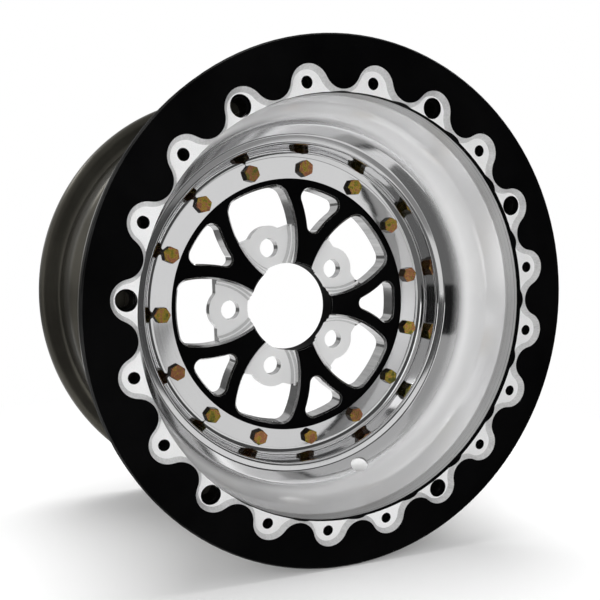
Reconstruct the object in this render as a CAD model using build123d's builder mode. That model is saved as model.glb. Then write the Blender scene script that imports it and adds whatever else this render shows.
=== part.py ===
from build123d import *

import os
from math import acos, atan2, cos, degrees, hypot, radians, sin, sqrt, tan

# Bolted three-piece wheel with a bead clamping ring. The axle is the Y axis and the hub's mounting
# face is the plane Y = 0. Heights called "out" run outboard from the hub face, towards -Y.

# Hub pattern
stud_circle_diameter = 114.3
stud_count = 5
stud_hole_diameter = 17.5
stud_angle = 181.7
hub_bore_diameter = 81.0
bore_break_width = 1.0

# Wheel centre, machined from one thick disc
centre_thickness = 20.0
back_pad_margin_width = 12.4
back_pad_height = 1.0
pad_thickness = 10.0
pad_nose_radius = 20.0
pad_nose_fillet_radius = 5.0
pad_shoulder_width = 13.35

# Large windows: two side arcs and one arc about the axle
window_web_width = 4.4
window_length = 25.1
window_half_width = 30.9
window_side_radius = 88.0
window_corner_radius = 12.4
window_bevel_width = 1.6
window_bevel_depth = 2.4

# Stepped walls between the face and each stud pad
step_setback_length = 5.5
step_inset_width = 2.3
step_side_radius = 62.0
step_depth = 6.0
pad_setback_length = 4.0
pad_inset_width = 3.6
pad_side_radius = 50.0
step_run_width = 1.2

# Small windows in the forks of the spokes
arm_width = 10.0
fork_web_width = 5.7
fork_apex_radius = 7.0
fork_corner_radius = 8.5
fork_bevel_width = 1.2

# Flange joint of the two rim halves and the centre, with widths from the bolt circle
joint_circle_diameter = 248.4
joint_count = 15
joint_angle = 85.6
joint_inner_width = 9.2
joint_outer_width = 9.8
bolt_diameter = 7.9
bolt_clearance = 0.25
bolt_head_width = 12.7
bolt_head_height = 5.6
bolt_overrun_length = 3.0
nut_height = 6.8

# Rim halves, spun from sheet
rim_sheet_thickness = 3.2

# Outboard half: short wall, rounded ledge and wide bowl-shaped lip, on the polished side
short_wall_foot_width = 15.6
short_wall_bend_radius = 9.0
short_wall_rise_width = 2.2
short_wall_height = 21.4
ledge_width = 7.6
ledge_rise_height = 1.9
ledge_round_radius = 4.0
lip_rise_width = 20.2
lip_slope_height = 21.0
lip_bend_radius = 50.0
lip_end_height = 46.3
valve_hole_diameter = 15.9
valve_angle = -69.5
valve_height = 8.2

# Inboard half: well, ramp, bead seat and curled flange, on the tyre side
well_foot_width = 16.8
well_rise_width = 9.0
well_length = 41.0
ramp_rise_width = 36.5
ramp_length = 47.0
seat_rise_width = 3.6
seat_length = 39.0
seat_fillet_radius = 6.5
rear_flange_height = 18.9
rear_flange_round_radius = 9.5
rear_flange_width = 15.0
curl_drop_height = 5.5
curl_width = 6.5

# Mounting ring on the end of the lip, which carries the clamping ring
lip_fit_clearance = 0.1
lip_seat_depth = 7.5
mount_bore_step_width = 0.6
spigot_wall_width = 12.6
bead_space_height = 17.5
mount_flange_width = 16.5
mount_flange_thickness = 6.5
mount_edge_width = 1.0
tapped_hole_diameter = 6.8
large_tapped_hole_diameter = 13.0

# Bead clamping ring, with widths from its bore
ring_bore_step_width = 0.9
ring_band_width = 39.7
ring_thickness = 9.5
ring_edge_width = 1.2
clamp_hole_setback_width = 8.1
lobe_count = 20
lobe_angle = 102.6
lobe_radius = 15.2
lobe_setback_width = 4.9
tooth_setback_width = 1.0
pocket_depth = 4.6
pocket_wall_width = 3.2
clamp_hole_diameter = 9.0
large_hole_diameter = 16.0
large_lobes = (2, 4, 9, 13, 16, 19)

# Radii worked out from the stud circle and the bolt circle
back_pad_radius = stud_circle_diameter / 2 + back_pad_margin_width
pad_shoulder = stud_circle_diameter / 2 + pad_shoulder_width
joint_radius = joint_circle_diameter / 2
flange_bore_radius = joint_radius - joint_inner_width
centre_radius = joint_radius + joint_outer_width
window_outer_radius = flange_bore_radius - window_web_width
fork_outer_radius = flange_bore_radius - fork_web_width
short_wall_foot_radius = joint_radius + short_wall_foot_width
ledge_inner_radius = short_wall_foot_radius + short_wall_rise_width
ledge_outer_radius = ledge_inner_radius + ledge_width
lip_bore_radius = ledge_outer_radius + lip_rise_width
well_foot_radius = joint_radius + well_foot_width
well_radius = well_foot_radius + well_rise_width
ramp_radius = well_radius + ramp_rise_width
seat_radius = ramp_radius + seat_rise_width
rear_flange_radius = seat_radius + rear_flange_height
mount_bore_radius = lip_bore_radius - mount_bore_step_width
ring_bore_radius = mount_bore_radius - ring_bore_step_width
ring_radius = ring_bore_radius + ring_band_width
clamp_circle_radius = ring_bore_radius + clamp_hole_setback_width
lobe_centre_radius = ring_bore_radius + lobe_setback_width
tooth_tip_radius = ring_bore_radius + tooth_setback_width
spigot_radius = clamp_circle_radius + spigot_wall_width
mount_flange_radius = spigot_radius + mount_flange_width

# Heights out from the hub face, from the back of the wheel to the front
joint_back_out = back_pad_height
flange_back_out = joint_back_out - rim_sheet_thickness
well_out = joint_back_out - well_length
ramp_out = well_out - ramp_length
seat_out = ramp_out - seat_length
curl_out = seat_out - rear_flange_width
step_out = centre_thickness - step_depth
bevel_out = centre_thickness - window_bevel_depth
flange_face_out = centre_thickness + rim_sheet_thickness
ledge_foot_out = flange_face_out + short_wall_height
ledge_out = ledge_foot_out + ledge_rise_height
valve_out = ledge_out + valve_height
lip_bend_out = ledge_out + lip_slope_height
lip_end_out = lip_bend_out + lip_end_height
mount_back_out = lip_end_out - lip_seat_depth
mount_flange_out = mount_back_out + mount_flange_thickness
ring_back_out = mount_flange_out + bead_space_height
ring_face_out = ring_back_out + ring_thickness

# Sizes that more than one piece shares
bolt_hole_radius = bolt_diameter / 2 + bolt_clearance
lip_seat_radius = lip_bore_radius + rim_sheet_thickness + lip_fit_clearance
window_reach = window_outer_radius - window_length
step_reach = window_reach - step_setback_length
pad_reach = step_reach - pad_setback_length
step_half_width = window_half_width - step_inset_width
pad_half_width = step_half_width - pad_inset_width
step_outer_radius = window_outer_radius - window_corner_radius
stud_pitch = 360 / stud_count
lobe_pitch = 360 / lobe_count
half_lobe = radians(lobe_pitch / 2)

# Half sections are drawn with the radius along x and the height out along y
half_section = Plane(origin=(0, 0, 0), x_dir=(1, 0, 0), z_dir=(0, 0, -1))


def across(out):
    """Plane across the axle at a height out, facing outboard with Z up."""
    return Plane.XZ.offset(out)


def window_outline(reach, half_width, side_radius, outer_radius, corner, inset):
    """Window along +x, brought in by inset: two side arcs closed by an arc about the axle."""
    drop = side_radius - half_width
    with BuildSketch() as outline:
        with Locations((reach, -drop)):
            Circle(side_radius - inset)
        with Locations((reach, drop)):
            Circle(side_radius - inset, mode=Mode.INTERSECT)
        Circle(outer_radius - inset, mode=Mode.INTERSECT)
        fillet(outline.vertices().group_by(Axis.X)[-1], corner - inset)
    return outline.sketch


def face_window(inset):
    """Large window at the face of the centre."""
    return window_outline(
        window_reach, window_half_width, window_side_radius, window_outer_radius, window_corner_radius, inset
    )


def step_window(inset):
    """Narrower outline of the step half way down to a stud pad."""
    return window_outline(
        step_reach, step_half_width, step_side_radius, step_outer_radius, window_corner_radius / 2, inset
    )


def pad_window(inset):
    """Narrowest outline, round the stud pad itself."""
    return window_outline(
        pad_reach, pad_half_width, pad_side_radius, step_outer_radius, window_corner_radius / 2, inset
    )


# The stud pad ends in a nose round the stud hole, between two shoulders
with BuildSketch() as pad_land:
    with Locations((pad_shoulder / 2, 0)):
        Rectangle(pad_shoulder, 2 * window_half_width)
    with Locations((stud_circle_diameter / 2, 0)):
        Circle(pad_nose_radius)
    inner_corners = pad_land.vertices().sort_by(lambda v: abs(v.X - pad_shoulder) + abs(v.Y))[:2]
    fillet(inner_corners, pad_nose_fillet_radius)

with BuildSketch() as window_through:
    add(face_window(window_bevel_width))
    add(pad_land.sketch, mode=Mode.SUBTRACT)

# Arms of a spoke, seen along that spoke: each has the centre of a large window's side arc. The arc at
# the apex between them touches both, and ends outside the pad that meets the hub.
fork_turn = radians(stud_pitch / 2)
window_drop = window_side_radius - window_half_width
arm_radius = window_side_radius + arm_width
arm_x = window_reach * cos(fork_turn) - window_drop * sin(fork_turn)
arm_y = window_reach * sin(fork_turn) + window_drop * cos(fork_turn)
pad_x = back_pad_radius - arm_x
pad_touch_radius = (pad_x**2 + arm_y**2 - arm_radius**2) / (2 * (arm_radius - pad_x))
apex_radius = max(fork_apex_radius, pad_touch_radius)
apex_x = arm_x + sqrt((arm_radius + apex_radius) ** 2 - arm_y**2)
apex_turn = degrees(atan2(arm_y, arm_x - apex_x))


def fork_window(inset):
    """Small window between the arms of a spoke, brought in by inset."""
    outer = fork_outer_radius - inset
    arm = arm_radius + inset
    reach = hypot(arm_x, arm_y)
    corner = atan2(arm_y, arm_x) - acos((outer**2 + reach**2 - arm**2) / (2 * outer * reach))
    arm_start = apex_turn - 180
    arm_end = degrees(atan2(outer * sin(corner) - arm_y, outer * cos(corner) - arm_x))
    with BuildSketch() as outline:
        with BuildLine():
            CenterArc((apex_x, 0), apex_radius - inset, apex_turn, 360 - 2 * apex_turn)
            CenterArc((arm_x, arm_y), arm, arm_start, arm_end - arm_start)
            CenterArc((arm_x, -arm_y), arm, -arm_start, arm_start - arm_end)
            CenterArc((0, 0), outer, -degrees(corner), 2 * degrees(corner))
        make_face()
        fillet(outline.vertices().group_by(Axis.X)[-1], fork_corner_radius - inset)
    return outline.sketch


# Cutters for one large and one small window, along +x with the face of the centre towards +z
with BuildPart() as window_cutter:
    with BuildSketch(Plane.XY.offset(centre_thickness)):
        add(face_window(0))
    with BuildSketch(Plane.XY.offset(bevel_out)):
        add(face_window(window_bevel_width))
    loft(ruled=True)
    with BuildSketch(Plane.XY.offset(bevel_out)):
        add(step_window(0))
    with BuildSketch(Plane.XY.offset(step_out)):
        add(step_window(step_run_width))
    loft(ruled=True)
    with BuildSketch(Plane.XY.offset(step_out)):
        add(pad_window(0))
    with BuildSketch(Plane.XY.offset(pad_thickness)):
        add(pad_window(step_run_width))
    loft(ruled=True)
    with BuildSketch():
        add(window_through.sketch)
    extrude(amount=bevel_out)

with BuildPart() as fork_cutter:
    with BuildSketch(Plane.XY.offset(centre_thickness)):
        add(fork_window(0))
    with BuildSketch(Plane.XY.offset(bevel_out)):
        add(fork_window(fork_bevel_width))
    loft(ruled=True)
    with BuildSketch():
        add(fork_window(fork_bevel_width))
    extrude(amount=bevel_out)

# The pad that meets the hub stands proud of the seat of the flange joint
with BuildPart(Plane.XZ) as wheel_centre:
    with BuildSketch(across(joint_back_out)):
        Circle(centre_radius)
    extrude(amount=centre_thickness - joint_back_out)
    with BuildSketch(across(0)):
        Circle(back_pad_radius)
    extrude(amount=joint_back_out)
    with BuildSketch(across(0)):
        Circle(hub_bore_diameter / 2)
        with PolarLocations(stud_circle_diameter / 2, stud_count, stud_angle):
            Circle(stud_hole_diameter / 2)
        with PolarLocations(joint_radius, joint_count, joint_angle):
            Circle(bolt_hole_radius)
    extrude(amount=centre_thickness, mode=Mode.SUBTRACT)
    circles = wheel_centre.edges().filter_by(GeomType.CIRCLE)
    bore_edges = circles.filter_by(lambda e: abs(e.radius - hub_bore_diameter / 2) < bore_break_width)
    chamfer(bore_edges, bore_break_width)
    with PolarLocations(0, stud_count, stud_angle):
        add(window_cutter.part, mode=Mode.SUBTRACT)
    with PolarLocations(0, stud_count, stud_angle + stud_pitch / 2):
        add(fork_cutter.part, mode=Mode.SUBTRACT)

# The valve hole is square to the sloping wall of the lip
lip_slope = atan2(lip_rise_width, lip_slope_height)
valve_radius = ledge_outer_radius + valve_height * tan(lip_slope)
valve_turn = radians(valve_angle)
valve_point = (valve_radius * cos(valve_turn), -valve_out, valve_radius * sin(valve_turn))
valve_direction = (
    cos(lip_slope) * cos(valve_turn),
    sin(lip_slope),
    cos(lip_slope) * sin(valve_turn),
)

with BuildPart() as outer_rim_half:
    with BuildSketch(half_section):
        with BuildLine():
            FilletPolyline(
                (flange_bore_radius, flange_face_out),
                (short_wall_foot_radius, flange_face_out),
                (ledge_inner_radius, ledge_foot_out),
                (ledge_outer_radius, ledge_out),
                radius=[short_wall_bend_radius, ledge_round_radius],
            )
            FilletPolyline(
                (ledge_outer_radius, ledge_out),
                (lip_bore_radius, lip_bend_out),
                (lip_bore_radius, lip_end_out),
                radius=lip_bend_radius,
            )
            offset(amount=rim_sheet_thickness, side=Side.RIGHT, kind=Kind.INTERSECTION)
        make_face()
    revolve(axis=Axis.Y)
    with BuildSketch(across(centre_thickness)):
        with PolarLocations(joint_radius, joint_count, joint_angle):
            Circle(bolt_hole_radius)
    extrude(amount=rim_sheet_thickness, mode=Mode.SUBTRACT)
    with BuildSketch(Plane(origin=valve_point, z_dir=valve_direction)):
        Circle(valve_hole_diameter / 2)
    extrude(amount=2 * rim_sheet_thickness, both=True, mode=Mode.SUBTRACT)

with BuildPart() as inner_rim_half:
    with BuildSketch(half_section):
        with BuildLine():
            Polyline(
                (flange_bore_radius, joint_back_out),
                (well_foot_radius, joint_back_out),
                (well_radius, well_out),
                (ramp_radius, ramp_out),
            )
            FilletPolyline(
                (ramp_radius, ramp_out),
                (seat_radius, seat_out),
                (rear_flange_radius, seat_out),
                (rear_flange_radius, curl_out),
                radius=[seat_fillet_radius, rear_flange_round_radius],
            )
            Line(
                (rear_flange_radius, curl_out),
                (rear_flange_radius - curl_drop_height, curl_out - curl_width),
            )
            offset(amount=rim_sheet_thickness, side=Side.RIGHT, kind=Kind.INTERSECTION)
        make_face()
    revolve(axis=Axis.Y)
    with BuildSketch(across(flange_back_out)):
        with PolarLocations(joint_radius, joint_count, joint_angle):
            Circle(bolt_hole_radius)
    extrude(amount=rim_sheet_thickness, mode=Mode.SUBTRACT)

with BuildPart() as bead_mount_ring:
    with BuildSketch(half_section) as mount_section:
        with BuildLine():
            Polyline(
                (mount_bore_radius, ring_back_out),
                (spigot_radius, ring_back_out),
                (spigot_radius, mount_flange_out),
                (mount_flange_radius, mount_flange_out),
                (mount_flange_radius, mount_back_out),
                (lip_seat_radius, mount_back_out),
                (lip_seat_radius, lip_end_out),
                (mount_bore_radius, lip_end_out),
                close=True,
            )
        make_face()
        chamfer(mount_section.vertices().group_by(Axis.X)[-1], mount_edge_width)
    revolve(axis=Axis.Y)
    with BuildSketch(across(ring_back_out)):
        for lobe in range(lobe_count):
            hole = large_tapped_hole_diameter if lobe in large_lobes else tapped_hole_diameter
            with PolarLocations(clamp_circle_radius, 1, lobe_angle - lobe * lobe_pitch):
                Circle(hole / 2)
    extrude(amount=-bead_space_height, mode=Mode.SUBTRACT)

# Arcs of the scalloped pocket: lobes about the clamp holes and teeth between them, all tangent
lobe_in = lobe_centre_radius * cos(half_lobe) - tooth_tip_radius
tooth_radius = (
    lobe_centre_radius**2
    + tooth_tip_radius**2
    - 2 * lobe_centre_radius * tooth_tip_radius * cos(half_lobe)
    - lobe_radius**2
) / (2 * (lobe_radius + lobe_in))
tooth_centre_radius = tooth_tip_radius + tooth_radius
lobe_sweep = degrees(
    atan2(
        tooth_centre_radius * sin(half_lobe),
        tooth_centre_radius * cos(half_lobe) - lobe_centre_radius,
    )
)
tooth_sweep = lobe_sweep - lobe_pitch / 2


def scallop(inset):
    """Closed outline of lobes and teeth, brought in by inset."""
    with BuildSketch() as outline:
        with BuildLine():
            for lobe in range(lobe_count):
                middle = lobe_angle + lobe * lobe_pitch
                valley = middle + lobe_pitch / 2
                CenterArc(
                    (lobe_centre_radius * cos(radians(middle)), lobe_centre_radius * sin(radians(middle))),
                    lobe_radius - inset,
                    middle - lobe_sweep,
                    2 * lobe_sweep,
                )
                CenterArc(
                    (tooth_centre_radius * cos(radians(valley)), tooth_centre_radius * sin(radians(valley))),
                    tooth_radius + inset,
                    valley + 180 + tooth_sweep,
                    -2 * tooth_sweep,
                )
        make_face()
    return outline.sketch


with BuildPart() as beadlock_ring:
    with BuildSketch(half_section) as ring_section:
        with BuildLine():
            Polyline(
                (ring_bore_radius, ring_back_out),
                (ring_radius, ring_back_out),
                (ring_radius, ring_face_out),
                (ring_bore_radius, ring_face_out),
                close=True,
            )
        make_face()
        chamfer(ring_section.vertices().group_by(Axis.X)[-1], ring_edge_width)
    revolve(axis=Axis.Y)
    with BuildSketch(across(ring_face_out)):
        add(scallop(0))
    with BuildSketch(across(ring_face_out - pocket_depth)):
        add(scallop(pocket_wall_width))
    loft(ruled=True, mode=Mode.SUBTRACT)
    with BuildSketch(across(ring_face_out)):
        for lobe in range(lobe_count):
            hole = large_hole_diameter if lobe in large_lobes else clamp_hole_diameter
            with PolarLocations(clamp_circle_radius, 1, lobe_angle - lobe * lobe_pitch):
                Circle(hole / 2)
    extrude(amount=-ring_thickness, mode=Mode.SUBTRACT)

# One bolt, standing on the flange face with its head towards +z
grip = flange_face_out - flange_back_out + nut_height
with BuildPart() as flange_bolt:
    with BuildSketch():
        RegularPolygon(bolt_head_width / 2, 6, major_radius=False)
    extrude(amount=bolt_head_height)
    with BuildSketch():
        Circle(bolt_diameter / 2)
    extrude(amount=-grip - bolt_overrun_length)

with BuildPart(across(flange_face_out)) as flange_bolts:
    with PolarLocations(joint_radius, joint_count, joint_angle):
        add(flange_bolt.part)

with BuildPart() as flange_nuts:
    with BuildSketch(across(flange_back_out)):
        with PolarLocations(joint_radius, joint_count, joint_angle):
            RegularPolygon(bolt_head_width / 2, 6, major_radius=False)
            Circle(bolt_hole_radius, mode=Mode.SUBTRACT)
    extrude(amount=-nut_height)

wheel_centre.part.label = "wheel_centre"
outer_rim_half.part.label = "outer_rim_half"
inner_rim_half.part.label = "inner_rim_half"
bead_mount_ring.part.label = "bead_mount_ring"
beadlock_ring.part.label = "beadlock_ring"
flange_bolts.part.label = "flange_bolts"
flange_nuts.part.label = "flange_nuts"

os.makedirs("parts", exist_ok=True)
export_step(wheel_centre.part, "parts/wheel_centre.step")
export_step(outer_rim_half.part, "parts/outer_rim_half.step")
export_step(inner_rim_half.part, "parts/inner_rim_half.step")
export_step(bead_mount_ring.part, "parts/bead_mount_ring.step")
export_step(beadlock_ring.part, "parts/beadlock_ring.step")
export_step(flange_bolts.part, "parts/flange_bolts.step")
export_step(flange_nuts.part, "parts/flange_nuts.step")
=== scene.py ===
"""Studio scene of a bolted beadlock wheel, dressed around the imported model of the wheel.

The axle is the Y axis and the outboard side faces -Y. Sizes are in millimetres in the fields of the
classes and become metres when a mesh is made. Heights called "out" run outboard from the hub face.
"""

import logging
import math
from abc import ABC, abstractmethod
from dataclasses import dataclass
from enum import Enum

import bmesh
import bpy
from bmesh.types import BMEdge, BMesh, BMFace, BMVert
from mathutils import Matrix, Vector

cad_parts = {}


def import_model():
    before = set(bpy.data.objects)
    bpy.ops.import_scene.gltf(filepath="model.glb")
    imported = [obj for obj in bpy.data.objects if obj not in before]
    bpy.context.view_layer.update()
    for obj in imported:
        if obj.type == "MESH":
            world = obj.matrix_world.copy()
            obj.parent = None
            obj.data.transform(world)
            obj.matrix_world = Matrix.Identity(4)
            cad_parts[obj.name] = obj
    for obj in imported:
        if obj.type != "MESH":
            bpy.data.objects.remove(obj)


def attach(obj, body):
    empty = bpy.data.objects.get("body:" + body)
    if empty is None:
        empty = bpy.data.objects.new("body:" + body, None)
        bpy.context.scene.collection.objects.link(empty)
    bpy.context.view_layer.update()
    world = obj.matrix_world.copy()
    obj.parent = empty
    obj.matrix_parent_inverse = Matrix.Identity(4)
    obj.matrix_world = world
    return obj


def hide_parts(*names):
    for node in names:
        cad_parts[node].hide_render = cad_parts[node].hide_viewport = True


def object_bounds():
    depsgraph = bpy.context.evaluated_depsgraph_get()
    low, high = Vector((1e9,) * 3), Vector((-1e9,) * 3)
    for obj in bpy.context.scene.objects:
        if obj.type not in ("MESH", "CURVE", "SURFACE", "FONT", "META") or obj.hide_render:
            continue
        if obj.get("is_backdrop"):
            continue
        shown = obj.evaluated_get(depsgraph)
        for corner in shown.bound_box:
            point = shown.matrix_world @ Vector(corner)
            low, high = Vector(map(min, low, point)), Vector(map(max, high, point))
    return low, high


MM = 0.001
ORIGIN = Vector((0.0, 0.0, 0.0))
AXLE = Vector((0.0, 1.0, 0.0))
BODY = "root"
WHITE = (1.0, 1.0, 1.0, 1.0)

# Shares of a face's normal along a direction: from FLAT up the face is square to that direction, up
# to UPRIGHT it runs along it, and past LEAN it clearly leans that way.
FLAT = 0.99
UPRIGHT = 0.05
LEAN = 0.3

# Distances in millimetres within which points are one, a face lies at a height, and a face belongs
# to a bore.
SAME_POINT = 0.002
CLOSE = 0.1
BORE_REACH = 1.5

# Usual range of a noise value.
WEAK = 0.3
STRONG = 0.7

log = logging.getLogger("beadlock_wheel")

Colour = tuple[float, float, float]
Triple = tuple[float, float, float]
Socket = bpy.types.NodeSocket


# Finishes


def grey(level: float) -> Colour:
    """Colour with the same level in all three parts."""
    return level, level, level


class Graph:
    """Node tree of one material, with short calls to add and join nodes."""

    def __init__(self, name: str) -> None:
        """Start a material with a principled shader on its output.

        Args:
            name: Name of the material.
        """
        self.material = bpy.data.materials.new(name)
        self.material.use_nodes = True
        self.tree = self.material.node_tree
        self.tree.nodes.clear()
        self.output = self.add("ShaderNodeOutputMaterial")
        self.shader = self.add("ShaderNodeBsdfPrincipled")
        self.show(self.shader.outputs["BSDF"])

    def add(self, kind: str, **settings: object) -> bpy.types.Node:
        """Add a node.

        Args:
            kind: Blender's name of the node type.
            **settings: Values for the node's own properties.

        Returns:
            The new node.
        """
        node = self.tree.nodes.new(kind)
        for name, value in settings.items():
            setattr(node, name, value)
        return node

    def join(self, start: Socket, end: Socket) -> None:
        """Link an output socket to an input socket."""
        self.tree.links.new(start, end)

    def show(self, surface: Socket) -> None:
        """Link a shader to the material's output."""
        self.join(surface, self.output.inputs["Surface"])

    def feed(self, name: str, value: Socket) -> None:
        """Link a value to an input of the principled shader."""
        self.join(value, self.shader.inputs[name])

    def set(self, node: bpy.types.Node, **values: object) -> bpy.types.Node:
        """Set input sockets by name, with underscores for spaces.

        Args:
            node: Node whose sockets are set.
            **values: Socket names and their values.

        Returns:
            The same node.
        """
        for name, value in values.items():
            node.inputs[name.replace("_", " ")].default_value = value
        return node

    def place(self) -> Socket:
        """Object coordinates of the shaded point."""
        return self.add("ShaderNodeTexCoord").outputs["Object"]

    def parts(self) -> bpy.types.Node:
        """Split the object coordinates of the shaded point.

        Returns:
            Node with the outputs X, Y and Z.
        """
        node = self.add("ShaderNodeSeparateXYZ")
        self.join(self.place(), node.inputs[0])
        return node

    def maths(self, operation: str, first: object, second: object = None) -> Socket:
        """Join a maths node to sockets or plain numbers.

        Args:
            operation: Blender's name of the operation.
            first: Socket or number for the first input.
            second: Socket or number for the second input.

        Returns:
            The node's output.
        """
        node = self.add("ShaderNodeMath", operation=operation)
        for slot, value in enumerate((first, second)):
            if isinstance(value, Socket):
                self.join(value, node.inputs[slot])
            elif value is not None:
                node.inputs[slot].default_value = value
        return node.outputs[0]

    def turned_place(self) -> Socket:
        """Find the radius and height of the shaded point, so that a pattern runs round the axle.

        Returns:
            Coordinates with the radius as X and the height as Y.
        """
        parts = self.parts()
        squares = [self.maths("POWER", parts.outputs[name], 2.0) for name in "XZ"]
        joined = self.add("ShaderNodeCombineXYZ")
        self.join(self.maths("SQRT", self.maths("ADD", *squares)), joined.inputs["X"])
        self.join(parts.outputs["Y"], joined.inputs["Y"])
        return joined.outputs[0]

    def stretched_place(self, scale: Triple) -> Socket:
        """Object coordinates scaled along each axis.

        Args:
            scale: Factor along X, Y and Z.

        Returns:
            The scaled coordinates.
        """
        mapping = self.set(self.add("ShaderNodeMapping"), Scale=scale)
        self.join(self.place(), mapping.inputs["Vector"])
        return mapping.outputs[0]

    def noise(self, place: Socket, scale: float, detail: float) -> Socket:
        """Noise between 0 and 1 at a place.

        Args:
            place: Coordinates to read.
            scale: Spots to the metre.
            detail: Octaves of finer noise.

        Returns:
            The noise value.
        """
        node = self.set(self.add("ShaderNodeTexNoise"), Scale=scale, Detail=detail, Roughness=0.6)
        self.join(place, node.inputs["Vector"])
        return node.outputs["Fac"]

    def between(self, value: Socket, low: float, high: float) -> Socket:
        """Spread a noise value over a range.

        Args:
            value: Noise value.
            low: Result where the noise is weak.
            high: Result where the noise is strong.

        Returns:
            The value in its new range.
        """
        node = self.add("ShaderNodeMapRange")
        self.set(node, From_Min=WEAK, From_Max=STRONG, To_Min=low, To_Max=high)
        self.join(value, node.inputs["Value"])
        return node.outputs["Result"]

    def ramp(self, value: Socket, stops: dict[float, Colour]) -> Socket:
        """Colours along a value.

        Args:
            value: Value that picks the colour.
            stops: Colour at each place of the ramp.

        Returns:
            The colour.
        """
        node = self.add("ShaderNodeValToRGB")
        points = node.color_ramp.elements
        while len(points) < len(stops):
            points.new(0.5)
        for point, (place, colour) in zip(points, sorted(stops.items())):
            point.position = place
            point.color = (*colour, 1.0)
        self.join(value, node.inputs["Fac"])
        return node.outputs["Color"]

    def bump(self, height: Socket, strength: float, depth: float) -> None:
        """Raise the surface by a height.

        Args:
            height: Height between 0 and 1.
            strength: Share of the effect.
            depth: Height of a full bump, in millimetres.
        """
        node = self.set(self.add("ShaderNodeBump"), Strength=strength, Distance=depth * MM)
        self.join(height, node.inputs["Height"])
        self.feed("Normal", node.outputs["Normal"])


@dataclass(frozen=True)
class BareMetal:
    """Metal with fine tool marks.

    Attributes:
        name: Name of the material.
        low: Darkest colour.
        high: Lightest colour.
        smooth: Least roughness.
        rough: Greatest roughness.
        mark_scale: Marks to the metre.
        mark_depth: Depth of a mark, in millimetres.
        metallic: Share of the surface that is bare metal and not haze.
    """

    name: str
    low: Colour
    high: Colour
    smooth: float
    rough: float
    mark_scale: float
    mark_depth: float
    metallic: float = 1.0


@dataclass(frozen=True)
class TurnedMetal(BareMetal):
    """Metal with marks that run round the axle, and a slow change of colour.

    Attributes:
        cloud_scale: Slow changes of colour to the metre.
    """

    cloud_scale: float = 9.0

    def material(self) -> bpy.types.Material:
        """Build the material.

        Returns:
            The material.
        """
        graph = Graph(self.name)
        marks = graph.noise(graph.turned_place(), self.mark_scale, detail=3.0)
        cloud = graph.noise(graph.place(), self.cloud_scale, detail=3.0)
        self.metal(graph)
        graph.feed("Base Color", graph.ramp(cloud, {WEAK: self.low, STRONG: self.high}))
        graph.feed("Roughness", self.roughness(graph, marks))
        graph.bump(marks, strength=0.5, depth=self.mark_depth)
        return graph.material

    def metal(self, graph: Graph) -> None:
        """Set the share of bare metal."""
        graph.set(graph.shader, Metallic=self.metallic)

    def roughness(self, graph: Graph, marks: Socket) -> Socket:
        """Roughness that follows the marks."""
        return graph.between(marks, self.smooth, self.rough)


@dataclass(frozen=True)
class PolishedLip(TurnedMetal):
    """Polished metal that turns to a pale satin towards the end of the lip.

    Attributes:
        satin: Roughness that the full satin adds.
        mirror: Share of the mirror that the full satin leaves.
        satin_start: Height out at which the satin begins.
        satin_end: Height out past which it is full.
    """

    satin: float = 0.14
    mirror: float = 0.35
    satin_start: float = 51.0
    satin_end: float = 66.0

    def along(self, graph: Graph, start: float, end: float) -> Socket:
        """Value that changes where the satin begins.

        Args:
            graph: Node tree of the material.
            start: Value on the polished part.
            end: Value on the satin part.

        Returns:
            The value at the shaded point.
        """
        fade = graph.add("ShaderNodeMapRange", interpolation_type="SMOOTHSTEP")
        graph.set(fade, From_Min=-self.satin_start * MM, From_Max=-self.satin_end * MM)
        graph.set(fade, To_Min=start, To_Max=end)
        graph.join(graph.parts().outputs["Y"], fade.inputs["Value"])
        return fade.outputs["Result"]

    def metal(self, graph: Graph) -> None:
        """Weaken the mirror along the lip."""
        graph.feed("Metallic", self.along(graph, 1.0, self.mirror))

    def roughness(self, graph: Graph, marks: Socket) -> Socket:
        """Roughness that follows the marks and grows along the lip."""
        grown = self.along(graph, 0.0, self.satin)
        return graph.maths("ADD", super().roughness(graph, marks), grown)


@dataclass(frozen=True)
class MilledMetal(BareMetal):
    """Metal with marks that run along the axle, square to the face of the wheel.

    Attributes:
        mark_run: Scale of the marks along the axle, as a share of that across it.
    """

    mark_run: float = 0.05

    def material(self) -> bpy.types.Material:
        """Build the material.

        Returns:
            The material.
        """
        graph = Graph(self.name)
        graph.set(graph.shader, Metallic=self.metallic)
        walls = graph.stretched_place((1.0, self.mark_run, 1.0))
        marks = graph.noise(walls, self.mark_scale, detail=2.0)
        graph.feed("Base Color", graph.ramp(marks, {0.35: self.low, 0.65: self.high}))
        graph.feed("Roughness", graph.between(marks, self.rough, self.smooth))
        graph.bump(marks, strength=0.6, depth=self.mark_depth)
        return graph.material


@dataclass(frozen=True)
class BlackAnodised:
    """Deep matt black skin on aluminium.

    Attributes:
        name: Name of the material.
        low: Darkest colour.
        high: Lightest colour.
        smooth: Least roughness.
        rough: Greatest roughness.
        specular: Level of the clear reflection.
        cloud_scale: Slow changes of colour to the metre.
        grain_scale: Grains to the metre.
    """

    name: str
    low: Colour = (0.0008, 0.0008, 0.0009)
    high: Colour = (0.0018, 0.0018, 0.0019)
    smooth: float = 0.38
    rough: float = 0.55
    specular: float = 0.012
    cloud_scale: float = 14.0
    grain_scale: float = 2600.0

    def material(self) -> bpy.types.Material:
        """Build the material.

        Returns:
            The material.
        """
        graph = Graph(self.name)
        graph.set(graph.shader, Metallic=0.0, Specular_IOR_Level=self.specular)
        cloud = graph.noise(graph.place(), self.cloud_scale, detail=4.0)
        grain = graph.noise(graph.place(), self.grain_scale, detail=2.0)
        graph.feed("Base Color", graph.ramp(cloud, {WEAK: self.low, STRONG: self.high}))
        graph.feed("Roughness", graph.between(cloud, self.smooth, self.rough))
        graph.bump(grain, strength=0.15, depth=0.02)
        return graph.material


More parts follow.
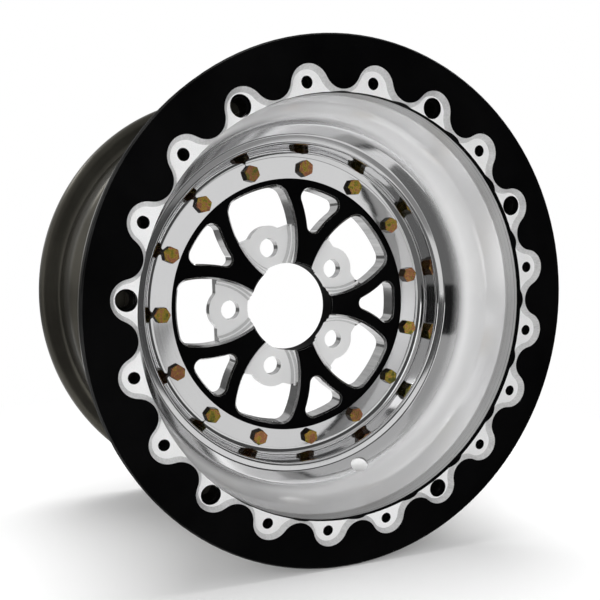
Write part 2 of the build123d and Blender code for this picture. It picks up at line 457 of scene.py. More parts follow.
@dataclass(frozen=True)
class YellowZinc:
    """Passivated zinc plate whose tint drifts from gold to pink and green.

    Attributes:
        name: Name of the material.
        shade: Share of the tint that is left; a low share paints shade.
        drift_scale: Slow changes of tint to the metre, from one fastener to the next.
        mottle_scale: Quick changes of tint to the metre, on each fastener.
        drift: Share of the tint that changes slowly; the rest changes quickly.
        grain_scale: Grains to the metre.
    """

    name: str
    shade: float
    drift_scale: float = 16.0
    mottle_scale: float = 260.0
    drift: float = 0.48
    grain_scale: float = 900.0

    def material(self) -> bpy.types.Material:
        """Build the material.

        Returns:
            The material.
        """
        graph = Graph(self.name)
        graph.set(graph.shader, Metallic=1.0)
        slow = graph.noise(graph.place(), self.drift_scale, detail=1.0)
        quick = graph.noise(graph.place(), self.mottle_scale, detail=3.0)
        slow = graph.between(slow, 0.0, self.drift)
        quick = graph.between(quick, 0.0, 1.0 - self.drift)
        tints = {
            0.16: (0.17, 0.17, 0.05),
            0.30: (0.36, 0.33, 0.06),
            0.42: (0.62, 0.42, 0.07),
            0.52: (0.62, 0.30, 0.12),
            0.62: (0.54, 0.20, 0.13),
            0.74: (0.46, 0.29, 0.08),
            0.86: (0.24, 0.25, 0.07),
        }
        stops = {place: tuple(self.shade * part for part in tint) for place, tint in tints.items()}
        grain = graph.noise(graph.place(), self.grain_scale, detail=2.0)
        graph.feed("Base Color", graph.ramp(graph.maths("ADD", slow, quick), stops))
        graph.feed("Roughness", graph.between(grain, 0.22, 0.36))
        graph.bump(grain, strength=0.2, depth=0.03)
        return graph.material


@dataclass(frozen=True)
class ThreadPaintedShade:
    """Wall of a tapped hole in painted shade, ridged by its thread, the ridges lighter as painted
    highlights.

    Attributes:
        name: Name of the material.
        pitch: Distance between ridges, in millimetres.
        low: Painted shade between the ridges.
        high: Lighter colour on the ridges, a painted highlight.
    """

    name: str
    pitch: float = 1.25
    low: Colour = grey(0.02)
    high: Colour = grey(0.16)

    def material(self) -> bpy.types.Material:
        """Build the material.

        Returns:
            The material.
        """
        graph = Graph(self.name)
        graph.set(graph.shader, Metallic=1.0)
        wave = graph.add("ShaderNodeTexWave", wave_type="BANDS", bands_direction="Y")
        graph.set(wave, Scale=math.pi / (10.0 * self.pitch * MM), Distortion=0.0)
        graph.join(graph.place(), wave.inputs["Vector"])
        ridge = wave.outputs["Fac"]
        graph.feed("Base Color", graph.ramp(ridge, {0.1: self.low, 0.9: self.high}))
        graph.feed("Roughness", graph.between(ridge, 0.5, 0.35))
        graph.bump(ridge, strength=0.7, depth=0.5)
        return graph.material


class Finish(Enum):
    """Finishes of the wheel, each made once."""

    POLISHED = PolishedLip(
        "polished_aluminium", low=(0.86, 0.86, 0.87), high=grey(0.91), smooth=0.05, rough=0.09,
        mark_scale=520.0, mark_depth=0.0005,
    )
    BRUSHED = TurnedMetal(
        "brushed_pad", low=grey(0.74), high=grey(0.82), smooth=0.36, rough=0.46,
        mark_scale=700.0, mark_depth=0.006, metallic=0.5,
    )
    # Dark spun metal: its dark tone is partly the metal's own and partly painted shade.
    SPUN = TurnedMetal(
        "dull_spun_and_painted_shade", low=(0.042, 0.039, 0.032), high=(0.082, 0.077, 0.063), smooth=0.26, rough=0.42,
        mark_scale=420.0, mark_depth=0.04, metallic=0.85,
    )
    TURNED = TurnedMetal(
        "turned_grey", low=grey(0.52), high=grey(0.64), smooth=0.26, rough=0.38,
        mark_scale=900.0, mark_depth=0.01, metallic=0.6,
    )
    MILLED = MilledMetal(
        "milled_aluminium", low=grey(0.66), high=grey(0.72), smooth=0.14, rough=0.22,
        mark_scale=420.0, mark_depth=0.002,
    )
    # Darker grey for the cut walls under the pads and in the stud holes: painted shade.
    CUT = MilledMetal(
        "cut_wall_painted_shade", low=grey(0.32), high=grey(0.46), smooth=0.10, rough=0.20,
        mark_scale=160.0, mark_depth=0.002,
    )
    POCKET = MilledMetal(
        "milled_pocket", low=grey(0.78), high=grey(0.86), smooth=0.38, rough=0.50,
        mark_scale=1500.0, mark_depth=0.006, metallic=0.5,
    )
    # Pocket walls, a darker grey than the pocket floors: painted shade.
    SCALLOP = MilledMetal(
        "scallop_wall_painted_shade", low=grey(0.56), high=grey(0.66), smooth=0.34, rough=0.46,
        mark_scale=700.0, mark_depth=0.004, metallic=0.6,
    )
    BLACK = BlackAnodised("black_anodised")
    # Rubbed black edge, lighter than the face: wear, and a painted highlight as well.
    EDGE = BlackAnodised(
        "rubbed_edge_and_highlight", low=grey(0.003), high=grey(0.022), smooth=0.3, rough=0.5, specular=0.05
    )
    ZINC = YellowZinc("yellow_zinc", shade=0.85)
    # The same plate much darker, for the sides of the fasteners: painted shade.
    STAINED = YellowZinc("zinc_sides_painted_shade", shade=0.06)
    # Dark thread walls: painted shade in the holes, with lighter ridges as painted highlights.
    THREAD = ThreadPaintedShade("thread_painted_shade")

    def material(self) -> bpy.types.Material:
        """Material of this finish, built on first use."""
        found = bpy.data.materials.get(self.value.name)
        return found or self.value.material()


# Pieces


def to_object(mesh: BMesh, name: str) -> bpy.types.Object:
    """Make an object of a mesh and link it to the scene.

    Args:
        mesh: Finished mesh, which is freed.
        name: Name of the object and of its data.

    Returns:
        The new object.
    """
    data = bpy.data.meshes.new(name)
    mesh.to_mesh(data)
    mesh.free()
    made = bpy.data.objects.new(name, data)
    bpy.context.scene.collection.objects.link(made)
    return made


def place_of(face: BMFace) -> tuple[float, float]:
    """Radius and height out of the middle of a face, in millimetres."""
    middle = face.calc_center_median() / MM
    return math.hypot(middle.x, middle.z), -middle.y


@dataclass
class Piece(ABC):
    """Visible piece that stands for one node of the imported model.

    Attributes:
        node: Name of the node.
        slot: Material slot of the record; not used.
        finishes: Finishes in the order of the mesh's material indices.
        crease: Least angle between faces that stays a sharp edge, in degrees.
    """

    node: str
    slot: str
    finishes: tuple[Finish, ...]
    crease: float = 28.0

    @abstractmethod
    def build(self) -> bpy.types.Object:
        """Build and publish the piece."""

    def shade(self, mesh: BMesh) -> None:
        """Shade faces smooth and keep edges past the crease angle sharp.

        Args:
            mesh: Mesh to shade.
        """
        for face in mesh.faces:
            face.smooth = True
        for edge in mesh.edges:
            edge.smooth = edge.is_manifold and edge.calc_face_angle() < math.radians(self.crease)

    def publish(self, mesh: BMesh) -> bpy.types.Object:
        """Make the object, dress it and let it stand for its node.

        Args:
            mesh: Finished mesh, which is freed.

        Returns:
            The new object.
        """
        piece = to_object(mesh, f"{self.node}_look")
        for finish in self.finishes:
            piece.data.materials.append(finish.material())
        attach(piece, BODY)
        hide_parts(self.node)
        log.info("%s: %d faces", piece.name, len(piece.data.polygons))
        return piece


@dataclass(frozen=True)
class Corner:
    """Corner of a half section.

    Attributes:
        radius: Distance from the axle.
        out: Height out from the hub face.
        bend: Radius of the round at the corner, or 0 for a sharp one.
        segments: Steps of that round.
    """

    radius: float
    out: float
    bend: float = 0.0
    segments: int = 8


@dataclass
class SpunShell(Piece):
    """Sheet of even thickness spun about the axle.

    Attributes:
        corners: Half section of the side that leads the sheet.
        wall: Thickness of the sheet.
        steps: Divisions of a full turn.
        focus: Height out of the point on the axle that the leading side faces.
    """

    corners: tuple[Corner, ...] = ()
    wall: float = 3.2
    steps: int = 288
    focus: float = 300.0

    def section(self) -> BMesh:
        """Draw the half section as a wire with its bends rounded.

        Returns:
            Mesh of the wire.
        """
        mesh = bmesh.new()
        places = [Vector((corner.radius, -corner.out, 0.0)) * MM for corner in self.corners]
        points = [mesh.verts.new(place) for place in places]
        for first, second in zip(points, points[1:]):
            mesh.edges.new((first, second))
        for before, here, after, corner in zip(places, places[1:], places[2:], self.corners[1:]):
            if corner.bend:
                turn = (here - before).angle(after - here)
                bmesh.ops.bevel(
                    mesh,
                    geom=[min(mesh.verts, key=lambda vertex: (vertex.co - here).length)],
                    offset=corner.bend * MM * math.tan(turn / 2),
                    offset_type="OFFSET",
                    segments=corner.segments,
                    profile=0.5,
                    affect="VERTICES",
                    material=-1,
                )
        return mesh

    def shell(self) -> BMesh:
        """Spin the section and give the sheet its thickness.

        Returns:
            Closed mesh with both sides dressed.
        """
        mesh = self.section()
        bmesh.ops.spin(
            mesh,
            geom=mesh.verts[:] + mesh.edges[:],
            cent=ORIGIN,
            axis=AXLE,
            angle=2 * math.pi,
            steps=self.steps,
            use_merge=True,
        )
        bmesh.ops.remove_doubles(mesh, verts=mesh.verts, dist=SAME_POINT * MM)
        bmesh.ops.recalc_face_normals(mesh, faces=mesh.faces)
        if not self.leads(min(mesh.faces, key=lambda face: place_of(face)[0])):
            bmesh.ops.reverse_faces(mesh, faces=mesh.faces)
        bmesh.ops.solidify(mesh, geom=mesh.faces[:], thickness=self.wall * MM)
        for face in mesh.faces:
            face.material_index = self.finishes.index(self.finish_of(face))
        self.shade(mesh)
        return mesh

    def finish_of(self, face: BMFace) -> Finish:
        """First finish on the leading side and last finish on the other."""
        return self.finishes[0 if self.leads(face) else -1]

    def leads(self, face: BMFace) -> bool:
        """Tell whether a face looks towards the focus on the axle."""
        face.normal_update()
        return face.normal.dot(-self.focus * MM * AXLE - face.calc_center_median()) > 0

    def build(self) -> bpy.types.Object:
        """Build and publish the piece."""
        return self.publish(self.shell())


@dataclass
class OuterRimHalf(SpunShell):
    """Polished outboard half with its ledge, wide lip and valve hole.

    Attributes:
        valve_hole: Diameter of the valve hole.
        valve_angle: Place of the hole round the axle, in degrees.
        valve_out: Height out of the middle of the hole.
        valve_sides: Facets of the hole.
        drill_length: Length of the bar that cuts it, in thicknesses of the sheet.
    """

    valve_hole: float = 15.9
    valve_angle: float = -69.5
    valve_out: float = 54.7
    valve_sides: int = 64
    drill_length: float = 6.0

    def finish_of(self, face: BMFace) -> Finish:
        """Dark spun, partly painted shade, on the end of the lip under the mount ring; else as on
        any shell.

        Args:
            face: Face to dress.

        Returns:
            Its finish.
        """
        finish = super().finish_of(face)
        end = face.normal.y < -FLAT and place_of(face)[1] > self.corners[-1].out - CLOSE
        return self.finishes[-1] if end else finish

    def drill(self) -> BMesh:
        """Make the bar that cuts the valve hole, square to the slope of the lip.

        Returns:
            Mesh of the bar.
        """
        ledge, lip = self.corners[3], self.corners[4]
        slope = (lip.radius - ledge.radius) / (lip.out - ledge.out)
        radius = ledge.radius + (self.valve_out - ledge.out) * slope
        turn = math.radians(self.valve_angle)
        outward = Vector((math.cos(turn), slope, math.sin(turn))).normalized()
        middle = Vector((radius * math.cos(turn), -self.valve_out, radius * math.sin(turn))) * MM
        upright = outward.to_track_quat("Z", "Y").to_matrix().to_4x4()
        mesh = bmesh.new()
        bmesh.ops.create_cone(
            mesh,
            cap_ends=True,
            segments=self.valve_sides,
            radius1=self.valve_hole / 2 * MM,
            radius2=self.valve_hole / 2 * MM,
            depth=self.drill_length * self.wall * MM,
            matrix=Matrix.Translation(middle) @ upright,
        )
        return mesh

    def build(self) -> bpy.types.Object:
        """Build the shell and cut the valve hole.

        Returns:
            The published piece.
        """
        piece = self.publish(self.shell())
        drill = to_object(self.drill(), "drill")
        cut = piece.modifiers.new("valve_hole", "BOOLEAN")
        cut.object = drill
        cut.operation = "DIFFERENCE"
        cut.solver = "EXACT"
        graph = bpy.context.evaluated_depsgraph_get()
        done = bpy.data.meshes.new_from_object(piece.evaluated_get(graph))
        piece.modifiers.clear()
        piece.data = done
        bpy.data.objects.remove(drill)
        return piece


@dataclass
class FrameCopy(Piece):
    """Copy of a node's own mesh, merged, with its edges broken and each face dressed.

    Attributes:
        soft_edge: Width of the broken edges.
        soft_angle: Least angle between faces whose edge is broken, in degrees.
        flat_angle: Greatest angle between facets that are joined, in degrees.
    """

    soft_edge: float = 0.3
    soft_angle: float = 24.0
    flat_angle: float = 0.2

    def merged(self) -> BMesh:
        """Copy the node's mesh, join its loose triangles and break its edges.

        Returns:
            The merged mesh.
        """
        mesh = bmesh.new()
        mesh.from_mesh(bpy.data.objects[self.node].data)
        bmesh.ops.remove_doubles(mesh, verts=mesh.verts, dist=SAME_POINT * MM)
        flat = math.radians(self.flat_angle)
        bmesh.ops.dissolve_limit(mesh, angle_limit=flat, verts=mesh.verts, edges=mesh.edges)
        sharp = math.radians(self.soft_angle)
        joined = [edge for edge in mesh.edges if edge.is_manifold]
        bmesh.ops.bevel(
            mesh,
            geom=[edge for edge in joined if edge.calc_face_angle() > sharp],
            offset=self.soft_edge * MM,
            offset_type="OFFSET",
            segments=2,
            profile=0.5,
            affect="EDGES",
            clamp_overlap=True,
            material=-1,
        )
        return mesh

    @abstractmethod
    def finish_of(self, face: BMFace) -> Finish:
        """Finish of one face of the piece."""

    def build(self) -> bpy.types.Object:
        """Build and publish the piece.

        Returns:
            The published piece.
        """
        mesh = self.merged()
        for face in mesh.faces:
            face.normal_update()
            face.material_index = self.finishes.index(self.finish_of(face))
        self.shade(mesh)
        piece = self.publish(mesh)
        piece.modifiers.new("even_shading", "WEIGHTED_NORMAL").keep_sharp = True
        return piece


@dataclass
class WheelCentre(FrameCopy):
    """Black centre with milled windows and stud pads.

    Attributes:
        thickness: Height out of the front face.
        edge_radius: Radius of the outer edge.
        back_step: Height out of the seat behind the flange joint.
        pad_thickness: Height out of the stud pads.
        bore_radius: Radius of the hub bore.
        stud_circle: Radius of the circle of stud holes.
        stud_count: Number of stud holes.
        stud_angle: Angle of the first one, in degrees.
        stud_hole: Diameter of a stud hole.
    """

    finishes: tuple[Finish, ...] = (Finish.BLACK, Finish.MILLED, Finish.BRUSHED, Finish.CUT)
    thickness: float = 20.0
    edge_radius: float = 134.0
    back_step: float = 1.0
    pad_thickness: float = 10.0
    bore_radius: float = 40.5
    stud_circle: float = 57.15
    stud_count: int = 5
    stud_angle: float = 181.7
    stud_hole: float = 17.5

    def in_stud_hole(self, face: BMFace) -> bool:
        """Tell whether a face lies on the wall of a stud hole.

        Args:
            face: Face to look at.

        Returns:
            True on the wall of a stud hole.
        """
        middle = face.calc_center_median() / MM
        across = middle - middle.y * AXLE
        first, pitch = math.radians(self.stud_angle), 2 * math.pi / self.stud_count
        turns = [first + pitch * stud for stud in range(self.stud_count)]
        studs = [Vector((math.cos(turn), 0.0, math.sin(turn))) * self.stud_circle for turn in turns]
        nearest = min((across - stud).length for stud in studs)
        return nearest < self.stud_hole / 2 + self.soft_edge

    def faces_axle(self, face: BMFace) -> bool:
        """Tell whether a face looks towards the axle.

        Args:
            face: Face to look at.

        Returns:
            True where the face looks inwards and not round the bore.
        """
        middle = face.calc_center_median()
        inward = Vector((-middle.x, 0.0, -middle.z)).normalized()
        return face.normal.dot(inward) > LEAN and abs(face.normal.dot(inward.cross(AXLE))) < LEAN

    def finish_of(self, face: BMFace) -> Finish:
        """Black on the front, back, bore and edge, brushed on the pads, milled walls, cut walls in
        painted shade.

        Args:
            face: Face to dress.

        Returns:
            Its finish.
        """
        radius, out = place_of(face)
        front = face.normal.y < -FLAT and out > self.thickness - CLOSE
        back = face.normal.y > FLAT and out < self.back_step + CLOSE
        edge = abs(face.normal.y) < UPRIGHT and radius > self.edge_radius - self.soft_edge
        bore = radius < self.bore_radius + BORE_REACH and self.faces_axle(face)
        if front or back or edge or bore:
            return Finish.BLACK
        if face.normal.y < -FLAT:
            return Finish.BRUSHED
        # Cut walls under the pads and in the stud holes get the darker grey of painted shade.
        through = abs(face.normal.y) < LEAN and out < self.pad_thickness
        return Finish.CUT if through or self.in_stud_hole(face) else Finish.MILLED


@dataclass
class BeadlockRing(FrameCopy):
    """Black clamping ring with scalloped milled pockets.

    Attributes:
        face_out: Height out of the front face.
        thickness: Thickness of the ring.
        outer_radius: Radius of the outer edge.
        bore_radius: Radius of the bore.
        edge: Width of the broken outer edges.
        pocket_out: Height out of the floor of the pockets.
    """

    finishes: tuple[Finish, ...] = (Finish.BLACK, Finish.POCKET, Finish.SCALLOP, Finish.EDGE)
    face_out: float = 139.8
    thickness: float = 9.5
    outer_radius: float = 208.0
    bore_radius: float = 168.3
    edge: float = 1.2
    pocket_out: float = 135.2

    def finish_of(self, face: BMFace) -> Finish:
        """Black outside the pockets and in the holes, rubbed edge with painted highlight, milled
        pockets with walls in painted shade.

        Args:
            face: Face to dress.

        Returns:
            Its finish.
        """
        radius, out = place_of(face)
        if abs(face.normal.y) > FLAT:
            front = out > self.face_out - CLOSE
            back = out < self.face_out - self.thickness + CLOSE
            return Finish.BLACK if front or back else Finish.POCKET
        # Pocket walls below take a darker grey than the floors: painted shade.
        if abs(face.normal.y) < UPRIGHT:
            rim = radius > self.outer_radius - self.soft_edge
            bore = radius < self.bore_radius + self.soft_edge
            return Finish.BLACK if rim or bore or out < self.pocket_out else Finish.SCALLOP
        # The rounded outer edge takes the lighter black: wear with a painted highlight.
        return Finish.EDGE if radius > self.outer_radius - 2 * self.edge else Finish.SCALLOP


@dataclass
class MountRing(FrameCopy):
    """Turned ring behind the clamping ring, with its tapped holes.

    Attributes:
        face_out: Height out of the face under the clamping ring.
        bore_radius: Radius of the bore.
        hole_circle: Radius of the circle of holes.
        hole_reach: Distance from that circle within which an upright face belongs to a hole.
        hole_facet: Greatest area of a facet of a hole's wall, in square millimetres.
    """

    finishes: tuple[Finish, ...] = (Finish.TURNED, Finish.THREAD, Finish.BLACK, Finish.SPUN)
    face_out: float = 130.3
    bore_radius: float = 169.2
    hole_circle: float = 176.4
    hole_reach: float = 6.5
    hole_facet: float = 60.0

    def finish_of(self, face: BMFace) -> Finish:
        """Turned bore and back; thread and black front in painted shade; outside dark spun, partly
        painted shade.

        The middle of a ring-shaped flat lies near the axle, so the back counts with the bore.

        Args:
            face: Face to dress.

        Returns:
            Its finish.
        """
        radius, out = place_of(face)
        # The face under the clamping ring is black: painted shade between the two rings.
        if out > self.face_out - CLOSE:
            return Finish.BLACK
        upright = abs(face.normal.y) < UPRIGHT
        small = face.calc_area() < self.hole_facet * MM * MM
        # Hole walls take the dark thread: painted shade, with painted highlights on the ridges.
        if upright and small and abs(radius - self.hole_circle) < self.hole_reach:
            return Finish.THREAD
        return Finish.TURNED if radius < self.bore_radius + BORE_REACH else Finish.SPUN


@dataclass
class HexFasteners(Piece):
    """Hexagon heads or nuts of the flange joint, with plated ends and sides darkened as painted
    shade.

    Attributes:
        circle: Radius of the bolt circle.
        count: Number of fasteners.
        first_angle: Angle of the first one, in degrees.
        flats: Width across the flats.
        seat_out: Height out of the face that the hexagon stands on.
        height: Height of the hexagon, negative when it stands inboard.
        shank: Diameter of the shank.
        shank_end: Height out of the free end of the shank.
        shank_sides: Facets of the shank.
        crown: Diameter of the flat left inside the chamfer of the hexagon.
        crown_lean: Angle of that chamfer from the flat, in degrees.
        crown_steps: Facets of that chamfer.
    """

    finishes: tuple[Finish, ...] = (Finish.ZINC, Finish.STAINED)
    circle: float = 124.2
    count: int = 15
    first_angle: float = 85.6
    flats: float = 12.7
    seat_out: float = 23.2
    height: float = 5.6
    shank: float = 7.9
    shank_end: float = -12.0
    shank_sides: int = 24
    crown: float = 12.0
    crown_lean: float = 30.0
    crown_steps: int = 24

    def bar(self, mesh: BMesh, low: float, high: float, size: float, sides: int) -> None:
        """Add an upright bar along the axle.

        Args:
            mesh: Mesh that takes the bar.
            low: Lower height out.
            high: Upper height out.
            size: Radius of the bar.
            sides: Number of its sides.
        """
        upright = Matrix.Rotation(math.pi / 2, 4, "X")
        middle = Matrix.Translation((0.0, -(low + high) / 2 * MM, 0.0))
        bmesh.ops.create_cone(
            mesh,
            cap_ends=True,
            segments=sides,
            radius1=size * MM,
            radius2=size * MM,
            depth=abs(high - low) * MM,
            matrix=middle @ upright @ Matrix.Rotation(math.pi / 6, 4, "Z"),
        )

    def crown_head(self, mesh: BMesh, top_out: float) -> None:
        """Cut the round chamfer on the free end of the hexagon.

        Args:
            mesh: Mesh that holds the hexagon alone.
            top_out: Height out of its free end.
        """
        lean = math.radians(self.crown_lean)
        away = -math.copysign(1.0, self.height)
        for step in range(self.crown_steps):
            turn = 2 * math.pi * (step + 0.5) / self.crown_steps
            side = Vector((math.cos(turn), 0.0, math.sin(turn)))
            cut = bmesh.ops.bisect_plane(
                mesh,
                geom=mesh.verts[:] + mesh.edges[:] + mesh.faces[:],
                plane_co=(side * self.crown / 2 - AXLE * top_out) * MM,
                plane_no=side * math.sin(lean) + AXLE * away * math.cos(lean),
                clear_outer=True,
            )["geom_cut"]
            loop = [item for item in cut if isinstance(item, BMEdge)]
            bmesh.ops.edgeloop_fill(mesh, edges=loop)

    def build(self) -> bpy.types.Object:
        """Build one fastener, chamfer its head and repeat it round the joint.

        Returns:
            The published piece.
        """
        mesh = bmesh.new()
        top_out = self.seat_out + self.height
        low, high = sorted((self.seat_out, top_out))
        self.bar(mesh, low, high, size=self.flats / math.sqrt(3), sides=6)
        self.crown_head(mesh, top_out)
        self.bar(mesh, self.shank_end, self.seat_out, self.shank / 2, self.shank_sides)
        for face in mesh.faces:
            # Ends take the plate, sides its darker copy of painted shade.
            face.material_index = 0 if abs(face.normal.y) > LEAN else 1
        one = mesh.verts[:] + mesh.edges[:] + mesh.faces[:]
        bmesh.ops.translate(mesh, verts=mesh.verts[:], vec=(self.circle * MM, 0.0, 0.0))
        start = Matrix.Rotation(math.radians(-self.first_angle), 3, AXLE)
        bmesh.ops.rotate(mesh, verts=mesh.verts[:], cent=ORIGIN, matrix=start)
        for place in range(1, self.count):
            copy = bmesh.ops.duplicate(mesh, geom=one)["geom"]
            turn = Matrix.Rotation(-2 * math.pi * place / self.count, 3, AXLE)
            moved = [item for item in copy if isinstance(item, BMVert)]
            bmesh.ops.rotate(mesh, verts=moved, cent=ORIGIN, matrix=turn)
        self.shade(mesh)
        return self.publish(mesh)


# Stage, light and camera


@dataclass(frozen=True)
class Card:
    """Card of one brightness that bends round the wheel.

    Attributes:
        name: Name of the card.
        turn: Angles of its two ends from straight ahead, positive to the right, in degrees.
        lower: Distance from the upright through the wheel and height of its lower edge, in metres.
        upper: The same of its upper edge.
        glow: Brightness of the card.
    """

    name: str
    turn: tuple[float, float]
    lower: tuple[float, float]
    upper: tuple[float, float]
    glow: float


@dataclass(frozen=True)
class Softbox:
    """Square soft light that faces the wheel.

    Attributes:
        name: Name of the light.
        place: Where it hangs, in metres.
        size: Length of its side, in metres.
        watts: Power of the light.
        sheen: Whether only the sheen of the metal shows the light, or all but the sheen.
    """

    name: str
    place: Triple
    size: float
    watts: float
    sheen: bool = False


@dataclass
class Studio:
    """White sweep with cards and soft lights round the wheel.

    Attributes:
        floor_height: Height of the floor, in metres.
        floor_radius: Radius of the floor, in metres.
        floor_sides: Sides of the floor's edge.
        clear_radius: Distance from the wheel at which the floor is plain white, in metres.
        shade_share: Share of that distance up to which the floor shows its own shade.
        card_steps: Flats of a bent card.
    """

    floor_height: float
    floor_radius: float = 9.0
    floor_sides: int = 96
    clear_radius: float = 0.75
    shade_share: float = 0.55
    card_steps: int = 48

    def seen(self, tree: bpy.types.NodeTree) -> Socket:
        """Mask of the rays that show the background: camera, glossy and transmission rays.

        Args:
            tree: Node tree of the floor or the world.

        Returns:
            A socket that is 1 for those rays and 0 for the others.
        """
        path = tree.nodes.new("ShaderNodeLightPath")
        total = path.outputs["Is Camera Ray"]
        for name in ("Is Glossy Ray", "Is Transmission Ray"):
            either = tree.nodes.new("ShaderNodeMath")
            either.operation = "MAXIMUM"
            tree.links.new(total, either.inputs[0])
            tree.links.new(path.outputs[name], either.inputs[1])
            total = either.outputs[0]
        return total

    def world(self, fill: float) -> None:
        """Set a world that is white where it is seen and fills the shade elsewhere.

        Args:
            fill: Strength of the fill.
        """
        world = bpy.data.worlds.new("studio")
        bpy.context.scene.world = world
        world.use_nodes = True
        tree = world.node_tree
        tree.nodes.clear()
        output = tree.nodes.new("ShaderNodeOutputWorld")
        mix = tree.nodes.new("ShaderNodeMixShader")
        for slot, strength in ((1, fill), (2, 1.0)):
            light = tree.nodes.new("ShaderNodeBackground")
            light.inputs["Strength"].default_value = strength
            light.inputs["Color"].default_value = WHITE
            tree.links.new(light.outputs[0], mix.inputs[slot])
        tree.links.new(self.seen(tree), mix.inputs[0])
        tree.links.new(mix.outputs[0], output.inputs["Surface"])

    def floor(self, albedo: float, glow: float) -> None:
        """Lay the floor, which keeps the shadow near the wheel and turns white further out.

        Args:
            albedo: Brightness of the floor's own colour.
            glow: White that is added for the rays that show the background.
        """
        mesh = bmesh.new()
        bmesh.ops.create_circle(
            mesh,
            cap_ends=True,
            segments=self.floor_sides,
            radius=self.floor_radius,
            matrix=Matrix.Translation((0.0, 0.0, self.floor_height)),
        )
        floor = to_object(mesh, "floor")
        floor.data.materials.append(self.floor_material(albedo, glow))
        floor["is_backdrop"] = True

    def floor_material(self, albedo: float, glow: float) -> bpy.types.Material:
        """Build the floor's material.

        Args:
            albedo: Brightness of the floor's own colour.
            glow: White that is added for the rays that show the background.

        Returns:
            The material.
        """
        graph = Graph("pale_floor")
        graph.set(graph.shader, Base_Color=(*grey(albedo), 1.0), Roughness=0.9)
        graph.set(graph.shader, Specular_IOR_Level=0.0)
        near = graph.set(graph.add("ShaderNodeEmission"), Color=WHITE)
        far = graph.set(graph.add("ShaderNodeEmission"), Color=WHITE)
        seen = self.seen(graph.tree)
        graph.join(graph.maths("MULTIPLY", seen, glow), near.inputs["Strength"])
        graph.join(seen, far.inputs["Strength"])
        lit = graph.add("ShaderNodeAddShader")
        graph.join(graph.shader.outputs["BSDF"], lit.inputs[0])
        graph.join(near.outputs[0], lit.inputs[1])
        length = graph.add("ShaderNodeVectorMath", operation="LENGTH")
        graph.join(graph.place(), length.inputs[0])
        fade = graph.add("ShaderNodeMapRange", interpolation_type="SMOOTHSTEP")
        start = self.shade_share * self.clear_radius
        graph.set(fade, From_Min=start, From_Max=self.clear_radius)
        graph.join(length.outputs["Value"], fade.inputs["Value"])
        mix = graph.add("ShaderNodeMixShader")
        graph.join(graph.maths("MULTIPLY", fade.outputs["Result"], seen), mix.inputs[0])
        graph.join(lit.outputs[0], mix.inputs[1])
        graph.join(far.outputs[0], mix.inputs[2])
        graph.show(mix.outputs[0])
        return graph.material

    def stand(self, card: Card) -> None:
        """Stand a curved card round the wheel that only its metal shows.

        Args:
            card: Size and brightness of the card.
        """
        mesh = bmesh.new()
        start, end = (math.radians(angle) for angle in card.turn)
        ahead = Vector((math.sin(start), -math.cos(start), 0.0))
        up = Vector((0.0, 0.0, 1.0))
        ends = [ahead * away + up * height for away, height in (card.lower, card.upper)]
        edge = mesh.edges.new([mesh.verts.new(place) for place in ends])
        bmesh.ops.spin(
            mesh,
            geom=[*edge.verts, edge],
            cent=ORIGIN,
            axis=up,
            angle=end - start,
            steps=self.card_steps,
        )
        made = to_object(mesh, card.name)
        graph = Graph(card.name)
        graph.show(graph.set(graph.add("ShaderNodeEmission"), Strength=card.glow).outputs[0])
        made.data.materials.append(graph.material)
        for kind in ("camera", "diffuse", "transmission", "shadow"):
            setattr(made, f"visible_{kind}", False)
        made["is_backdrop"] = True

    def hang(self, softbox: Softbox) -> None:
        """Hang a soft light.

        Args:
            softbox: Place, size and power of the light.
        """
        light = bpy.data.lights.new(softbox.name, "AREA")
        light.shape = "SQUARE"
        light.size = softbox.size
        light.energy = softbox.watts
        lamp = bpy.data.objects.new(softbox.name, light)
        lamp.visible_glossy = softbox.sheen
        lamp.visible_diffuse = not softbox.sheen
        lamp.location = softbox.place
        lamp.rotation_euler = (-lamp.location).to_track_quat("-Z", "Y").to_euler()
        bpy.context.scene.collection.objects.link(lamp)

    def cards(self) -> tuple[Card, ...]:
        """List the cards that the metal shows.

        Returns:
            The cards, from the room ahead of the wheel to the ceiling.
        """
        floor = self.floor_height
        table, strip = floor + 0.002, floor + 0.003
        return (
            Card("dark_room", (-27.0, 84.0), (2.6, floor), (2.6, 2.4), 0.06),
            Card("pale_card", (8.0, 38.0), (2.4, floor), (2.4, 0.42), 0.68),
            Card("dark_side", (-84.0, -36.0), (0.9, floor), (0.9, 0.13), 0.01),
            Card("grey_side", (-84.0, -36.0), (0.9, 0.13), (0.9, 1.5), 0.3),
            Card("left_table", (-84.0, 6.0), (0.17, table), (2.6, table), 0.12),
            Card("pale_table", (6.0, 35.0), (0.17, table), (2.4, table), 0.64),
            Card("grey_strip", (11.0, 35.0), (0.98, strip), (1.38, strip), 0.22),
            Card("grey_slip", (11.0, 15.0), (1.38, strip), (2.3, strip), 0.22),
            Card("right_table", (35.0, 84.0), (0.17, table), (2.6, table), 0.06),
            Card("back_low", (95.0, 265.0), (1.2, floor), (1.2, 0.12), 0.2),
            Card("back_high", (95.0, 265.0), (1.2, 0.12), (1.2, 2.4), 0.75),
            Card("ceiling", (-180.0, 180.0), (2.6, 2.4), (0.01, 2.6), 0.4),
        )

    def lights(self) -> tuple[Softbox, ...]:
        """List the soft lights.

        Returns:
            The lights: three that light the wheel, and two for the sheen of the sides and back.
        """
        return (
            Softbox("overhead", (0.15, 0.3, 1.7), 1.4, 27.0),
            Softbox("front_left", (-0.9, -1.1, 0.35), 0.9, 6.0),
            Softbox("front_low", (-0.4, -1.2, 0.02), 0.4, 8.0),
            Softbox("rear_left", (-1.0, 0.8, 0.6), 0.8, 9.0, sheen=True),
            Softbox("rear_right", (1.0, 0.8, 0.6), 0.8, 9.0, sheen=True),
        )

    def build(self) -> None:
        """Lay the floor, set the world, and place the cards and lights."""
        self.floor(albedo=0.95, glow=0.05)
        self.world(fill=0.5)
        for card in self.cards():
            self.stand(card)
        for softbox in self.lights():
            self.hang(softbox)


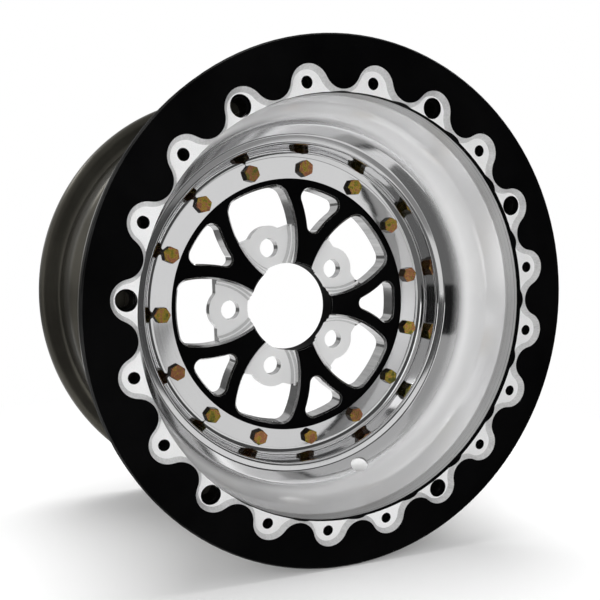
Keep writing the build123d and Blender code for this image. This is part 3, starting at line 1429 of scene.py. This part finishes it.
@dataclass(frozen=True)
class PhotoCamera:
    """Camera at the photograph's viewpoint.

    Attributes:
        place: Where the camera stands, in millimetres.
        forward: Direction that it looks along.
        right: Direction to the right of the frame.
        focal_pixels: Focal length in pixels of the frame.
        centre_pixel: Pixel that the camera looks straight at.
        frame_pixels: Width and height of the frame.
        sensor: Width of the sensor, in millimetres.
    """

    place: Triple = (-282.16, -676.26, 50.61)
    forward: Triple = (0.39272, 0.89985, -0.18987)
    right: Triple = (0.91685, -0.39920, 0.00446)
    focal_pixels: float = 766.72
    centre_pixel: tuple[float, float] = (296.0, 400.0)
    frame_pixels: float = 600.0
    sensor: float = 36.0

    def build(self) -> None:
        """Make the camera and give it to the scene."""
        data = bpy.data.cameras.new("photo_camera")
        data.sensor_width = self.sensor
        data.lens = self.sensor * self.focal_pixels / self.frame_pixels
        data.shift_x = 0.5 - self.centre_pixel[0] / self.frame_pixels
        data.shift_y = self.centre_pixel[1] / self.frame_pixels - 0.5
        data.clip_start = 0.01
        back = -Vector(self.forward).normalized()
        side = Vector(self.right)
        side = (side - side.dot(back) * back).normalized()
        turn = Matrix((side, back.cross(side), back)).transposed().to_4x4()
        camera = bpy.data.objects.new("photo_camera", data)
        camera.matrix_world = Matrix.Translation(Vector(self.place) * MM) @ turn
        bpy.context.scene.collection.objects.link(camera)
        bpy.context.scene.camera = camera


def pieces() -> tuple[Piece, ...]:
    """List the pieces of the wheel with the sizes that are their own.

    Returns:
        The pieces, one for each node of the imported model.
    """
    return (
        OuterRimHalf(
            "outer_rim_half",
            "polished",
            (Finish.POLISHED, Finish.SPUN),
            corners=(
                Corner(115.0, 23.2),
                Corner(139.8, 23.2, 9.0, 14),
                Corner(142.0, 44.6, 4.0, 12),
                Corner(149.6, 46.5, 3.0, 8),
                Corner(169.8, 67.5, 50.0, 28),
                Corner(169.8, 113.8),
            ),
        ),
        SpunShell(
            "inner_rim_half",
            "spun",
            (Finish.SPUN,),
            corners=(
                Corner(115.0, 1.0),
                Corner(141.0, 1.0, 4.0),
                Corner(150.0, -40.0, 16.0),
                Corner(186.5, -87.0, 12.0),
                Corner(190.1, -126.0, 6.5),
                Corner(209.0, -126.0, 9.5, 12),
                Corner(209.0, -141.0, 4.0),
                Corner(203.5, -147.5),
            ),
        ),
        MountRing("bead_mount_ring", "machined"),
        BeadlockRing("beadlock_ring", "ring_black"),
        WheelCentre("wheel_centre", "centre_black"),
        HexFasteners("flange_bolts", "fasteners"),
        HexFasteners(
            "flange_nuts",
            "fasteners",
            seat_out=-2.2,
            height=-6.8,
            shank=8.0,
            shank_end=-9.0,
        ),
    )


def main() -> None:
    """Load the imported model, build the pieces and set the stage."""
    logging.basicConfig(level=logging.INFO, format="%(name)s %(message)s")
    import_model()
    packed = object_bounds()
    for piece in pieces():
        piece.build()
    Studio(floor_height=packed[0].z).build()
    PhotoCamera().build()
    bpy.context.scene.view_settings.view_transform = "Standard"


if __name__ == "__main__":
    main()
